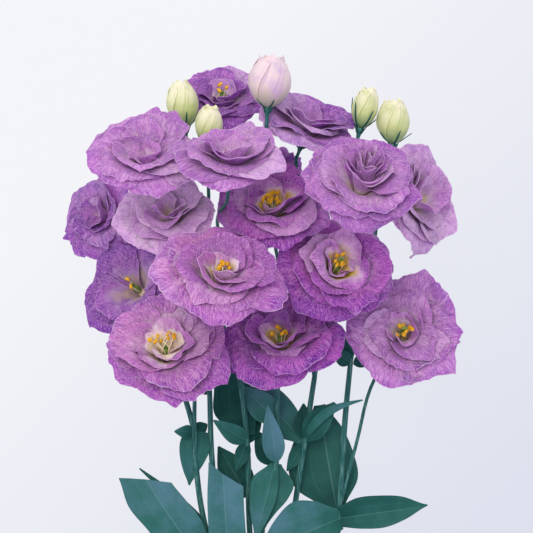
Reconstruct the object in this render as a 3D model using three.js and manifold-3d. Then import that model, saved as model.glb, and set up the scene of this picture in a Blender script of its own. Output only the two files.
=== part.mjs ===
// A bunch of cut double lisianthus, lying on its back with the flowers facing up.
// +X is to the right of the bunch, +Y runs along the stems to the flower heads, and +Z is up.
// Lengths are millimetres and angles are degrees.
import * as THREE from 'three';
import { mergeVertices } from 'three/addons/utils/BufferGeometryUtils.js';
import Module from 'manifold-3d';

const wasm = await Module();
wasm.setup();

// Driving dimensions
const PETAL_THICKNESS = 0.9;
const LEAF_THICKNESS = 0.8;
const LEAF_SHAPE = 0.7; // under 1 the leaf is widest nearer its base
const CLEARANCE = 0.3;
const STEM_RADIUS = 2.1;
const PEDICEL_RADIUS = 1.15;
const STEM_SIDES = 5;
const TWIG_SIDES = 4;
const HEART_HEIGHT = 22; // from the root of the petals up to the middle of the stamens
const ROOT_RADIUS = 2.5; // ring on which the petals start
const RECEPTACLE_LENGTH = 7;
const SEPAL_RADIUS = 0.9;
const EDGE_STEP = 2.6; // one edge of a petal lies outside its neighbour, the other inside
const WAVE = 1.5;
const WAVES_ROUND = 7;
const TIP_ROUND = 0.16;
const ROOT_WIDTH = 0.05; // share of a petal's width at its root
const WIDEST = 0.6; // how fast a petal widens, in half waves over its length
const ROOT_WRAP = 14; // how far half a petal wraps round the axis at its root
const WHORL_WRAP = 220; // the same at the tips, shared among the petals of a whorl
const MOST_WRAP = 58;
const TIE = { x: 4, y: -130, inner: 7.5, outer: 8.7, width: 12, sides: 12 };
const TIE_Z = TIE.outer * Math.cos(Math.PI / TIE.sides); // one flat of the tie lies on z = 0
const BUNDLE_RADIUS = 4.9; // ring on which the stems run through the tie
const CUT_END_Y = -215;

const COLOURS = {
  mauve: 0xb37fc4,
  pink: 0xb56bb0,
  violet: 0x6a2fa0,
  magenta: 0x8e2f9c,
  bud: 0xdfe6b6,
  blush: 0xe3d3cf,
  stamen: 0xe5b312,
  stem: 0x44705f,
  raffia: 0xcdb98a,
};

// Whorls from the outside in: number of petals, how far each leans out from the axis at its
// root and at its tip, its length as a share of the outer petals', its width in radii, and the
// number of facets along it
const WHORLS = {
  rose: [
    { count: 5, from: 44, to: 94, share: 1, width: 1.5, along: 3 },
    { count: 3, from: 30, to: 60, share: 0.86, width: 1.5, along: 2 },
  ],
  layered: [
    { count: 5, from: 44, to: 94, share: 1, width: 1.5, along: 2 },
    { count: 3, from: 30, to: 60, share: 0.86, width: 1.5, along: 2 },
  ],
  open: [
    { count: 5, from: 46, to: 96, share: 1, width: 1.5, along: 3 },
    { count: 3, from: 36, to: 74, share: 0.84, width: 1.5, along: 2 },
    { count: 2, from: 24, to: 44, share: 0.62, width: 1.3, along: 2 },
  ],
  trumpet: [
    { count: 5, from: 26, to: 92, share: 1, width: 1.5, along: 3 },
    { count: 3, from: 20, to: 66, share: 0.86, width: 1.5, along: 2 },
  ],
  small: [
    { count: 4, from: 34, to: 70, share: 1, width: 1.5, along: 2 },
    { count: 2, from: 18, to: 20, share: 0.8, width: 1.5, along: 2 },
  ],
};

// Half outlines of the core on which the petals stand: low where the heart shows
const LOW_CORE = [[0, -2], [3.2, -2], [8, 4], [0, 9]];
const ROLLED_CORE = [[0, -2], [3.2, -2], [8, 4], [6.5, 15], [0, 20]];
const CORES = {
  rose: ROLLED_CORE, layered: ROLLED_CORE, open: LOW_CORE, trumpet: LOW_CORE, small: ROLLED_CORE,
};

// Blooms: place of the heart, the way the flower faces (turn in the plane of the bunch, counted
// from +X, and tip away from straight up), radius, how much more the near petals droop
const BLOOMS = [
  { name: 'bloom_upper_left', heart: [-80, 271, 130], turn: 95, tip: 55, radius: 37.5, droop: 32,
    whorls: 'rose', colour: 'mauve' },
  { name: 'bloom_far_left', heart: [-127, 226, 25.6], turn: 165, tip: 45, radius: 31.5, droop: 16,
    whorls: 'layered', colour: 'violet', rests: true },
  { name: 'bloom_mid_left', heart: [-67, 232, 90], turn: 100, tip: 53, radius: 34.5, droop: 30,
    whorls: 'layered', colour: 'mauve' },
  { name: 'bloom_left_trumpet', heart: [-97, 175, 46], turn: 145, tip: 42, radius: 37.5, droop: 16,
    whorls: 'trumpet', colour: 'violet', stamens: 4 },
  { name: 'bloom_lower_left', heart: [-68, 135, 90], turn: 95, tip: 47, radius: 43, droop: 30,
    whorls: 'open', colour: 'pink', stamens: 5 },
  { name: 'bloom_front', heart: [-26, 189, 137], turn: 78, tip: 54, radius: 43.5, droop: 34,
    whorls: 'open', colour: 'pink', stamens: 5 },
  { name: 'bloom_centre', heart: [6, 236, 90], turn: 95, tip: 54, radius: 40, droop: 28,
    whorls: 'open', colour: 'magenta', stamens: 6 },
  { name: 'bloom_spiral', heart: [55, 191, 90], turn: 60, tip: 35, radius: 43, droop: 22,
    whorls: 'open', colour: 'magenta', stamens: 5 },
  { name: 'bloom_lower_middle', heart: [13, 143, 70], turn: 90, tip: 53, radius: 44, droop: 34,
    whorls: 'open', colour: 'magenta', stamens: 5 },
  { name: 'bloom_lower_right', heart: [101, 142, 58], turn: 90, tip: 17, radius: 43, droop: 14,
    whorls: 'open', colour: 'mauve', stamens: 5 },
  { name: 'bloom_upper_right', heart: [67, 250, 135], turn: 85, tip: 46, radius: 38.5, droop: 30,
    whorls: 'rose', colour: 'mauve' },
  { name: 'bloom_far_right', heart: [120, 237, 27], turn: 12, tip: 54, radius: 41, droop: 14,
    whorls: 'layered', colour: 'mauve', rests: true },
  { name: 'bloom_top_right', heart: [35, 295, 75], turn: 72, tip: 66, radius: 36.5, droop: 24,
    whorls: 'layered', colour: 'violet' },
  { name: 'bloom_top_left', heart: [-29, 316, 60], turn: 90, tip: 55, radius: 32.5, droop: 24,
    whorls: 'open', colour: 'violet', stamens: 4 },
  { name: 'bloom_top_middle', heart: [-20, 270, 140], turn: 85, tip: 65, radius: 35.5, droop: 30,
    whorls: 'layered', colour: 'mauve' },
  { name: 'bloom_hidden', heart: [15, 264, 34], turn: 60, tip: 45, radius: 22, droop: 10,
    whorls: 'small', colour: 'violet' },
];

const BUDS = [
  { name: 'bud_left', foot: [-54, 284, 80], lean: [-0.1, 1, 0.15], length: 33, radius: 10.5,
    colour: 'bud' },
  { name: 'bud_left_small', foot: [-38, 272, 95], lean: [0.1, 1, 0.2], length: 26, radius: 9,
    colour: 'bud' },
  { name: 'bud_top', foot: [4, 297, 95], lean: [0.08, 1, 0.1], length: 36, radius: 14,
    colour: 'blush' },
  { name: 'bud_right_slim', foot: [69, 284, 75], lean: [0.24, 1, 0.1], length: 29, radius: 8.5,
    colour: 'bud' },
  { name: 'bud_right', foot: [92, 273, 75], lean: [0, 1, 0.1], length: 31, radius: 11,
    colour: 'bud' },
];

// Leafy stems: slot is the stem's place round the middle of the tie, route runs from there to its
// last node, twigs leave the route at a point of it, counted from 0, and end under a flower. A leaf
// has a width, or the widths of its left and right half at even steps from base to tip. Slant makes
// the left half longer than the right one, by a share, and curve bends the leaf to its left.
const STEMS = [
  { name: 'stem_left', slot: 180, route: [[-40, -7, 24], [-48, 44, 30], [-49, 66, 32], [-56, 93, 31]],
    twigs: [
      { to: 'bloom_lower_left', from: 3, via: [[-62, 108, 45]] },
      { to: 'bloom_left_trumpet', from: 3, via: [[-66, 135, 19]] },
      { to: 'bloom_far_left', from: 3, via: [[-62, 130, 11], [-80, 185, 6]] },
      { to: 'bloom_upper_left', from: 2,
        via: [[-49, 110, 38], [-55, 165, 40], [-66, 210, 44], [-78, 243, 42], [-82, 254, 64], [-81, 247, 90]] },
    ],
    leaves: [
      { base: [-45, -27, 22], tip: [-84, 33, 34], bow: 5, fold: 0.08, slant: 0.167,
        left: [12, 17, 18.5, 20.5, 15.3], right: [10, 15.5, 17.6, 16, 14.3] },
      { base: [-43, 3, 25], tip: [-89, 40, 24], bow: 1, fold: 0.2, width: 5 },
      { base: [-47, 68, 31], tip: [-53, 28, 24], bow: 3, fold: 0.25,
        left: [8, 11, 8.5, 4.5, 0.5], right: [9, 11, 9.5, 5.5, 0.5] },
      { base: [-50, 67, 32], tip: [-63, 68, 40], bow: 1, fold: 0.2, width: 9 },
      { base: [-49, 67, 31], tip: [-40, 72, 24], bow: 1, fold: 0.2, width: 9 },
    ] },
  { name: 'stem_left_inner', slot: 120, route: [[-30, -6, 30], [-36, 44, 31], [-38, 97, 30]],
    twigs: [
      { to: 'bloom_mid_left', from: 2, via: [[-42, 150, 42]] },
      { to: 'bud_left', from: 2, via: [[-46, 160, 26], [-55, 215, 36], [-55, 250, 60]] },
      { to: 'bud_left_small', from: 2, via: [[-36, 160, 28], [-38, 215, 44], [-38, 247, 72]] },
    ],
    leaves: [
      { base: [-25, -26, 28], tip: [-28, 38, 46], bow: 5, fold: 0.1, slant: 0.145,
        left: [10, 12.5, 12.5, 11.5, 9.8], right: [10, 13.5, 14, 14, 14] },
      { base: [-38, 99, 30], tip: [-45, 97, 24], bow: 1, fold: 0.2, width: 8 },
    ] },
  { name: 'stem_middle', slot: 240, route: [[-9, -7, 20], [-11, 61, 27], [-17, 115, 29]],
    twigs: [
      { to: 'bloom_front', from: 2, via: [[-28, 145, 34], [-36, 163, 60], [-37, 165, 95]] },
      { to: 'bloom_top_middle', from: 2,
        via: [[-24, 160, 30], [-31, 208, 42], [-31, 222, 70], [-25, 230, 100]] },
      { to: 'bloom_top_left', from: 2, via: [[-20, 170, 20], [-27, 240, 22]] },
    ],
    leaves: [
      { base: [-10, 19, 22], tip: [-32, 55, 13], bow: 2, fold: 0.2, width: 24 },
      { base: [-11, 64, 25], tip: [-21, 136, 6], bow: -8, fold: 0.02,
        left: [6, 21, 20, 17, 8], right: [6, 10, 11, 9, 6] },
      { base: [-10, 58, 25], tip: [-4, 91, 6], bow: 1, fold: 0.15, width: 13 },
      { base: [-11, 60, 28], tip: [-35, 76, 40], bow: 2, fold: 0.2, width: 13 },
      { base: [-11, 59, 27], tip: [-19, 39, 34], bow: 1, fold: 0.2, width: 10 },
    ] },
  { name: 'stem_middle_right', slot: 60, route: [[0, -4, 28], [10, 44, 29], [11, 99, 32]],
    twigs: [
      { to: 'bloom_lower_middle', from: 2, via: [] },
      { to: 'bloom_centre', from: 2, via: [[14, 140, 26], [12, 185, 42]] },
      { to: 'bud_top', from: 2, via: [[6, 150, 20], [2, 220, 44], [0, 258, 60]] },
    ],
    leaves: [
      { base: [11, 75, 30], tip: [-14, 99, 21], bow: 2, fold: 0.15, width: 20 },
      { base: [10, 45, 30], tip: [4, 87, 48], bow: 3, fold: 0.2, width: 15 },
      { base: [9, 43, 28], tip: [-5, 67, 16], bow: -1, fold: 0.15, width: 16 },
      { base: [9, 44, 29], tip: [-4, -7, 36], bow: 3, fold: 0.15,
        left: [3, 6, 7, 5, 2], right: [3, 13, 12, 8, 2] },
      { base: [10, 44, 28], tip: [2, -2, 32], bow: 2, fold: 0.12,
        left: [4, 15, 13, 6, 0.5], right: [4, 8, 9, 7, 0.5] },
    ] },
  { name: 'stem_right_inner', slot: 300, route: [[21, -7, 20], [31, 61, 25], [38, 107, 28]],
    twigs: [
      { to: 'bloom_spiral', from: 2, via: [[44, 145, 32]] },
      { to: 'bloom_top_right', from: 2, via: [[38, 160, 20], [34, 220, 32]] },
      { to: 'bloom_hidden', from: 2, via: [[28, 160, 14], [14, 215, 10]] },
    ],
    leaves: [
      { base: [30, 60, 24], tip: [-10, 104, 12], bow: 2, fold: 0.08,
        left: [4, 12, 13, 10, 1], right: [4, 11, 13, 10, 1] },
      { base: [31, 62, 26], tip: [72, 91, 46], bow: 4, fold: 0.2, curve: 7, width: 6 },
      { base: [31, 61, 26], tip: [53, 88, 36], bow: 2, fold: 0.12,
        left: [3, 9, 10, 7, 2], right: [3, 8, 8, 5, 1] },
      { base: [31, 61, 25], tip: [30, 87, 22], bow: 1, fold: 0.15, width: 15 },
      { base: [30, 58, 24], tip: [18, 38, 23], bow: 1, fold: 0.2, width: 10 },
    ] },
  { name: 'stem_right', slot: 0, route: [[55, -5, 24], [56, 12, 26], [60, 76, 29], [64, 118, 29]],
    twigs: [
      { to: 'bloom_lower_right', from: 1, via: [[68, 57, 25], [83, 107, 18]] },
      { to: 'bloom_upper_right', from: 3, via: [[70, 175, 34], [75, 212, 52], [73, 226, 90]] },
      { to: 'bloom_far_right', from: 3, via: [[72, 165, 18], [82, 205, 9]] },
      { to: 'bud_right_slim', from: 3, via: [[66, 180, 26], [66, 240, 46], [63, 264, 60]] },
      { to: 'bud_right', from: 3, via: [[76, 180, 28], [82, 222, 52], [91, 252, 64]] },
    ],
    leaves: [
      { base: [54, 11, 23], tip: [42, 85, 9], bow: -3, fold: 0.06,
        left: [8, 27, 29, 20, 4], right: [6, 19, 19, 14, 4] },
      { base: [55, 4, 26], tip: [119, 15, 38], bow: 5, fold: 0.2,
        left: [8, 13, 12.5, 9.5, 0.5], right: [6, 9.5, 10.8, 7, 0.5] },
      { base: [56, 4, 27], tip: [-3, -14, 50], bow: 4, fold: 0.12,
        left: [8, 12, 14, 10, 0.5], right: [8, 19, 23.7, 15, 0.5] },
      { base: [64, 118, 29], tip: [49, 149, 32], bow: 2, fold: 0.2, width: 12 },
      { base: [64, 117, 29], tip: [50, 126, 36], bow: 1, fold: 0.2, width: 11 },
      { base: [66, 116, 29], tip: [81, 122, 22], bow: 1, fold: 0.2, width: 9 },
    ] },
];

const radians = THREE.MathUtils.degToRad;

// Solids

function toSolid(geometry) {
  geometry.deleteAttribute('normal');
  geometry.deleteAttribute('uv');
  const merged = mergeVertices(geometry, 1e-4);
  return new wasm.Manifold(new wasm.Mesh({
    numProp: 3,
    vertProperties: Float32Array.from(merged.attributes.position.array),
    triVerts: Uint32Array.from(merged.index.array),
  }));
}

function join(solids) {
  return solids.reduce((whole, piece) => whole.add(piece));
}

function toMesh(solid, name, colour, roughness) {
  const { vertProperties, triVerts } = solid.getMesh();
  const geometry = new THREE.BufferGeometry();
  geometry.setAttribute('position', new THREE.BufferAttribute(vertProperties, 3));
  geometry.setIndex(new THREE.BufferAttribute(triVerts, 1));
  geometry.computeVertexNormals();
  const material = new THREE.MeshStandardMaterial({ color: colour, roughness, metalness: 0 });
  const mesh = new THREE.Mesh(geometry, material);
  mesh.name = name;
  return mesh;
}

// A closed thin blade over surface(u, v), with u from -1 to 1 across it and v from 0 to 1 along
// it. Both faces are split into the same triangles, so they never cross.
function blade(surface, across, along, thickness) {
  const positions = [];
  const indices = [];
  const row = across + 1;
  const sheet = row * (along + 1);
  for (const side of [thickness / 2, -thickness / 2]) {
    for (let j = 0; j <= along; j++) {
      for (let i = 0; i <= across; i++) {
        const u = -1 + (2 * i) / across;
        const v = j / along;
        const point = surface(u, v).addScaledVector(normalOf(surface, u, v), side);
        positions.push(point.x, point.y, point.z);
      }
    }
  }
  const quad = (a, b, c, d) => indices.push(a, b, c, a, c, d);
  for (let j = 0; j < along; j++) {
    for (let i = 0; i < across; i++) {
      const a = j * row + i;
      quad(a, a + 1, a + 1 + row, a + row);
      indices.push(sheet + a, sheet + a + 1 + row, sheet + a + 1);
      indices.push(sheet + a, sheet + a + row, sheet + a + 1 + row);
    }
  }
  const rim = [];
  for (let i = 0; i < across; i++) rim.push(i);
  for (let j = 0; j < along; j++) rim.push(j * row + across);
  for (let i = across; i > 0; i--) rim.push(along * row + i);
  for (let j = along; j > 0; j--) rim.push(j * row);
  rim.forEach((a, k) => {
    const b = rim[(k + 1) % rim.length];
    quad(b, a, a + sheet, b + sheet);
  });
  const geometry = new THREE.BufferGeometry();
  geometry.setAttribute('position', new THREE.Float32BufferAttribute(positions, 3));
  geometry.setIndex(indices);
  return geometry;
}

function normalOf(surface, u, v) {
  const step = 0.01;
  const acrossIt = surface(u + step, v).sub(surface(u - step, v));
  const alongIt = surface(u, v + step).sub(surface(u, v - step));
  return acrossIt.cross(alongIt).normalize();
}

function tube(points, radius, sides, steps) {
  const outline = new THREE.Shape();
  for (let k = 0; k < sides; k++) {
    const angle = (2 * Math.PI * k) / sides;
    const [x, y] = [radius * Math.cos(angle), radius * Math.sin(angle)];
    if (k === 0) outline.moveTo(x, y);
    else outline.lineTo(x, y);
  }
  outline.closePath();
  const path = new THREE.CatmullRomCurve3(points.map((p) => new THREE.Vector3(...p)));
  return toSolid(new THREE.ExtrudeGeometry(outline, {
    steps, extrudePath: path, bevelEnabled: false,
  }));
}

// A three-sided needle through the given points, ending in a point
function needle(points, radius) {
  const positions = [];
  const indices = [];
  const last = points.length - 1;
  for (let k = 0; k < last; k++) {
    const ahead = points[k + 1].clone().sub(points[Math.max(0, k - 1)]).normalize();
    const side = new THREE.Vector3(-ahead.y, ahead.x, 0.01).normalize();
    const up = ahead.clone().cross(side).normalize();
    const size = radius * (1 - (0.4 * k) / last);
    for (let corner = 0; corner < 3; corner++) {
      const angle = (2 * Math.PI * corner) / 3;
      const point = points[k].clone().addScaledVector(side, size * Math.cos(angle))
        .addScaledVector(up, size * Math.sin(angle));
      positions.push(point.x, point.y, point.z);
    }
  }
  positions.push(points[last].x, points[last].y, points[last].z);
  indices.push(0, 2, 1);
  for (let k = 0; k < last; k++) {
    for (let corner = 0; corner < 3; corner++) {
      const a = 3 * k + corner;
      const b = 3 * k + ((corner + 1) % 3);
      if (k === last - 1) indices.push(a, b, 3 * last);
      else indices.push(a, b, b + 3, a, b + 3, a + 3);
    }
  }
  const geometry = new THREE.BufferGeometry();
  geometry.setAttribute('position', new THREE.Float32BufferAttribute(positions, 3));
  geometry.setIndex(indices);
  return toSolid(geometry);
}

// A solid of revolution about +Z from its half outline, with one flat side facing -X
function lathe(profile, sides) {
  const geometry = new THREE.LatheGeometry(profile.map(([r, h]) => new THREE.Vector2(r, h)), sides);
  return geometry.rotateX(Math.PI / 2).rotateZ(-Math.PI / 2 - Math.PI / sides);
}

// Frames. A flower's own frame has its axis along +Z, and +X is the side away from the viewer.

function flowerFrame(bloom) {
  const turn = radians(bloom.turn);
  const tip = radians(bloom.tip);
  const facing = new THREE.Vector3(
    Math.sin(tip) * Math.cos(turn), Math.sin(tip) * Math.sin(turn), Math.cos(tip));
  const back = new THREE.Vector3(
    Math.cos(tip) * Math.cos(turn), Math.cos(tip) * Math.sin(turn), -Math.sin(tip));
  const side = facing.clone().cross(back);
  const root = new THREE.Vector3(...bloom.heart).addScaledVector(facing, -HEART_HEIGHT);
  return new THREE.Matrix4().makeBasis(back, side, facing).setPosition(root);
}

function budFrame(bud) {
  const axis = new THREE.Vector3(...bud.lean).normalize();
  const turn = new THREE.Quaternion().setFromUnitVectors(new THREE.Vector3(0, 0, 1), axis);
  return new THREE.Matrix4().compose(
    new THREE.Vector3(...bud.foot), turn, new THREE.Vector3(1, 1, 1));
}

// Petals

// Radius and height at share s of a petal that bends evenly from one lean to the other
function petalCurve(length, from, to, s) {
  const start = radians(from);
  const bend = radians(Math.abs(to - from) < 1 ? 1 : to - from);
  const now = start + bend * s;
  return {
    r: ROOT_RADIUS + (length / bend) * (Math.cos(start) - Math.cos(now)),
    h: (length / bend) * (Math.sin(now) - Math.sin(start)),
    lean: now,
  };
}

function outerLength(bloom) {
  const [outer] = WHORLS[bloom.whorls];
  return (bloom.radius - ROOT_RADIUS) / (petalCurve(1, outer.from, outer.to, 1).r - ROOT_RADIUS);
}

function petal(bloom, whorl, angle, waves) {
  const length = outerLength(bloom) * whorl.share;
  const halfWidth = (bloom.radius * whorl.width) / 2;
  return (u, v) => {
    const s = v * (1 - TIP_ROUND * u * u);
    const middle = petalCurve(length, whorl.from, whorl.to, Math.max(s, 0));
    const width = halfWidth * (ROOT_WIDTH + (1 - ROOT_WIDTH) * Math.sin(Math.PI * WIDEST * v));
    const tipWrap = Math.min(MOST_WRAP, WHORL_WRAP / whorl.count);
    const wrap = radians(ROOT_WRAP + (tipWrap - ROOT_WRAP) * Math.min(1, 1.6 * v));
    const round = angle + u * Math.min(width / middle.r, wrap);
    const droop = -bloom.droop * Math.cos(round);
    const curve = petalCurve(length, whorl.from, whorl.to + droop, s);
    const proud = EDGE_STEP * u * s + WAVE * s * s * Math.sin(WAVES_ROUND * round + waves);
    const r = curve.r + proud * Math.cos(curve.lean);
    const h = curve.h - proud * Math.sin(curve.lean);
    return new THREE.Vector3(r * Math.cos(round), r * Math.sin(round), h);
  };
}

function bloomSolid(bloom) {
  const pieces = [toSolid(lathe(CORES[bloom.whorls], 5))];
  WHORLS[bloom.whorls].forEach((whorl, ring) => {
    for (let k = 0; k < whorl.count; k++) {
      const angle = (2 * Math.PI * (k + 0.5 * ring)) / whorl.count + Math.PI;
      pieces.push(toSolid(blade(petal(bloom, whorl, angle, ring), 2, whorl.along, PETAL_THICKNESS)));
    }
  });
  const solid = join(pieces).transform(flowerFrame(bloom).elements);
  return bloom.rests ? solid.intersect(aboveSurface) : solid;
}

// Stamens and pistil of a bloom whose heart shows, standing on the core
function stamenSolid(bloom) {
  const foot = 9 + CLEARANCE;
  const pieces = [toSolid(lathe([[0, foot], [2.6, foot], [1.2, 22], [0, 25]], 4))];
  for (let k = 0; k < bloom.stamens; k++) {
    const angle = (2 * Math.PI * k) / bloom.stamens;
    const at = (r, h) => new THREE.Vector3(r * Math.cos(angle), r * Math.sin(angle), h);
    pieces.push(needle([at(1, foot + 0.8), at(4.4, 17), at(5.4, 27)], 1.3));
  }
  return join(pieces).transform(flowerFrame(bloom).elements);
}

// Buds: petals rolled round each other, shown as ridges that wind up the bud
function budSolid(bud) {
  const profile = [[0, 0], [0.5, 0.06], [0.86, 0.25], [1, 0.48], [0.86, 0.72], [0.5, 0.92], [0, 1]];
  const geometry = lathe(profile.map(([r, h]) => [r * bud.radius, h * bud.length]), 10);
  const position = geometry.attributes.position;
  for (let k = 0; k < position.count; k++) {
    const [x, y, z] = [position.getX(k), position.getY(k), position.getZ(k)];
    const ridge = 1 + 0.07 * Math.cos(5 * Math.atan2(y, x) + (3 * z) / bud.length);
    position.setXYZ(k, x * ridge, y * ridge, z);
  }
  return toSolid(geometry).transform(budFrame(bud).elements);
}

// Leafy stems

function receptacle(frame, top, radius) {
  const foot = top - RECEPTACLE_LENGTH;
  const cup = [[0, foot], [PEDICEL_RADIUS, foot], [radius, top - 2], [radius, top], [0, top]];
  return toSolid(lathe(cup, 5)).transform(frame.elements);
}

// Narrow sepals, each through the places given as radius and height
function sepals(frame, count, placesAt) {
  return Array.from({ length: count }, (_, k) => {
    const angle = (2 * Math.PI * (k + 0.5)) / count + Math.PI;
    const points = placesAt(angle).map(([r, h]) => (
      new THREE.Vector3(r * Math.cos(angle), r * Math.sin(angle), h).applyMatrix4(frame)));
    return needle(points, SEPAL_RADIUS);
  });
}

function bloomCalyx(bloom) {
  const frame = flowerFrame(bloom);
  const [outer] = WHORLS[bloom.whorls];
  const top = -2 - CLEARANCE;
  const under = (angle, s, gap) => {
    const droop = -bloom.droop * Math.cos(angle);
    const curve = petalCurve(outerLength(bloom), outer.from, outer.to + droop, s);
    return [curve.r + gap * Math.cos(curve.lean), curve.h - gap * Math.sin(curve.lean)];
  };
  return [receptacle(frame, top, 3.2),
    ...sepals(frame, 3, (angle) => [[1.4, top - 3], under(angle, 0.4, 4.8)])];
}

function budCalyx(bud) {
  const top = -CLEARANCE;
  const beside = bud.radius + 2.2;
  return [receptacle(budFrame(bud), top, 3),
    ...sepals(budFrame(bud), 5, () => (
      [[1.4, top - 3], [beside, 0.2 * bud.length], [beside + 2, 0.9 * bud.length]]))];
}

function twig(start, via, flower) {
  const frame = flower.heart ? flowerFrame(flower) : budFrame(flower);
  const top = flower.heart ? -2 - CLEARANCE : -CLEARANCE;
  const end = new THREE.Vector3(0, 0, top - RECEPTACLE_LENGTH + 1).applyMatrix4(frame);
  const before = new THREE.Vector3(0, 0, top - RECEPTACLE_LENGTH - 7).applyMatrix4(frame);
  const points = [start, ...via, before.toArray(), end.toArray()];
  return tube(points, PEDICEL_RADIUS, TWIG_SIDES, points.length);
}

// The value at a share of the way through a list
function between(list, share) {
  const k = Math.min(list.length - 2, Math.floor(share * (list.length - 1)));
  const part = share * (list.length - 1) - k;
  return list[k] * (1 - part) + list[k + 1] * part;
}

function leafSolid(leaf) {
  const base = new THREE.Vector3(...leaf.base);
  const run = new THREE.Vector3(...leaf.tip).sub(base);
  const side = new THREE.Vector3(-run.y, run.x, 0).normalize();
  const up = side.clone().cross(run).normalize().negate();
  const surface = (u, v) => {
    const share = Math.min(1, Math.max(0, v));
    const widths = u < 0 ? leaf.left : leaf.right;
    const half = widths ? between(widths, share)
      : 0.5 + (leaf.width / 2) * Math.sin(Math.PI * share ** LEAF_SHAPE);
    const lift = leaf.bow * Math.sin(Math.PI * v) + leaf.fold * Math.abs(u) * half;
    const sway = (leaf.curve ?? 0) * Math.sin(Math.PI * v) - u * half;
    return base.clone().addScaledVector(run, v * (1 - u * (leaf.slant ?? 0)))
      .addScaledVector(side, sway).addScaledVector(up, lift);
  };
  const along = leaf.left || leaf.curve ? 4 : leaf.width > 18 ? 5 : leaf.width < 10 ? 2 : 3;
  return toSolid(blade(surface, 2, along, LEAF_THICKNESS));
}

function stemSolid(stem) {
  const slot = [TIE.x + BUNDLE_RADIUS * Math.cos(radians(stem.slot)),
    TIE_Z + BUNDLE_RADIUS * Math.sin(radians(stem.slot))];
  const through = [CUT_END_Y, TIE.y - TIE.width, TIE.y + TIE.width].map((y) => [slot[0], y, slot[1]]);
  const pieces = [tube([...through, ...stem.route], STEM_RADIUS, STEM_SIDES, 11)];
  for (const branch of stem.twigs) {
    const flower = [...BLOOMS, ...BUDS].find((each) => each.name === branch.to);
    pieces.push(twig(stem.route[branch.from], branch.via, flower));
    pieces.push(...(flower.heart ? bloomCalyx(flower) : budCalyx(flower)));
  }
  pieces.push(...stem.leaves.map(leafSolid));
  return join(pieces);
}

function tieSolid() {
  const { inner, outer, width, sides } = TIE;
  const section = [[inner, -width / 2], [outer, -width / 2], [outer, width / 2], [inner, width / 2],
    [inner, -width / 2]].map(([r, h]) => new THREE.Vector2(r, h));
  const ring = new THREE.LatheGeometry(section, sides);
  return toSolid(ring.rotateY(Math.PI / sides).translate(TIE.x, TIE.y, TIE_Z));
}

const aboveSurface = toSolid(new THREE.BoxGeometry(1000, 1000, 500).translate(0, 0, 250));
const group = new THREE.Group();
for (const stem of STEMS) group.add(toMesh(stemSolid(stem), stem.name, COLOURS.stem, 0.55));
group.add(toMesh(tieSolid(), 'tie', COLOURS.raffia, 0.9));
for (const bloom of BLOOMS) {
  group.add(toMesh(bloomSolid(bloom), bloom.name, COLOURS[bloom.colour], 0.6));
  if (bloom.stamens) {
    const name = bloom.name.replace('bloom', 'stamens');
    group.add(toMesh(stamenSolid(bloom), name, COLOURS.stamen, 0.7));
  }
}
for (const bud of BUDS) group.add(toMesh(budSolid(bud), bud.name, COLOURS[bud.colour], 0.5));

// The origin is at the middle of the bunch, on the surface that it lies on.
const bounds = new THREE.Box3().setFromObject(group);
const middle = bounds.getCenter(new THREE.Vector3());
group.position.set(-middle.x, -middle.y, 0);

export default group;
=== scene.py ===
import math
import random

import bpy
from mathutils import Matrix, Vector, noise


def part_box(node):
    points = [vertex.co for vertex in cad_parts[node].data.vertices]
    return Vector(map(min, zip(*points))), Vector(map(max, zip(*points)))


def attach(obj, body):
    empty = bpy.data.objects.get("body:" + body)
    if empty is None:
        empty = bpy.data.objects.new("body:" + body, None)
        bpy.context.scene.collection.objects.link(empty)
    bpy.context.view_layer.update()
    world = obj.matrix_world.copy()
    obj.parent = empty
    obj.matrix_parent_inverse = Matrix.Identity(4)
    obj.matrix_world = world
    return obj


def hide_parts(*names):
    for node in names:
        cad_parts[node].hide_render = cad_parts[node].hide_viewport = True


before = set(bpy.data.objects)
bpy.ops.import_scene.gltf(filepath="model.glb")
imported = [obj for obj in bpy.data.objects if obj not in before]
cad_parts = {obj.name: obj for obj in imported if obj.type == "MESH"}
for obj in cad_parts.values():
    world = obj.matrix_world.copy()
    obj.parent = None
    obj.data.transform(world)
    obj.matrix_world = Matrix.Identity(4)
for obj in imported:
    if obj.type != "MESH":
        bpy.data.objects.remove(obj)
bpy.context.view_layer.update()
bpy.ops.object.select_all(action="DESELECT")

mm = 0.001

# Layout: places below are in mm from the photo's bottom edge, with z up from the surface
layout = {"tie": (4, -130), "view": (3.15, 186.5), "cameraHeight": 1600, "frameWidth": 373, "frameHeight": 80}
tieLow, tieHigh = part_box("tie")
shift = Vector((
    (tieLow.x + tieHigh.x) / 2 - layout["tie"][0] * mm,
    (tieLow.y + tieHigh.y) / 2 - layout["tie"][1] * mm, 0))


def place(point):
    return Vector(point) * mm + shift


def radians(*angles):
    return [math.radians(angle) for angle in angles]


def clamp(value, low=0.0, high=1.0):
    return max(low, min(high, value))


def smooth(low, high, value):
    t = clamp((value - low) / (high - low))
    return t * t * (3 - 2 * t)


# Camera
def addCamera():
    distance = (layout["cameraHeight"] - layout["frameHeight"]) * mm
    bpy.ops.object.camera_add(location=place((*layout["view"], layout["cameraHeight"])))
    camera = bpy.context.object
    camera.data.sensor_width = 36
    camera.data.lens = camera.data.sensor_width * distance / (layout["frameWidth"] * mm)
    camera.data.clip_end = 20
    bpy.context.scene.camera = camera
    print("camera ready")


# Materials
def toLinear(hexColour):
    channels = [int(hexColour[start:start + 2], 16) / 255 for start in (0, 2, 4)]
    return [c / 12.92 if c <= 0.04045 else ((c + 0.055) / 1.055) ** 2.4 for c in channels] + [1.0]


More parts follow.
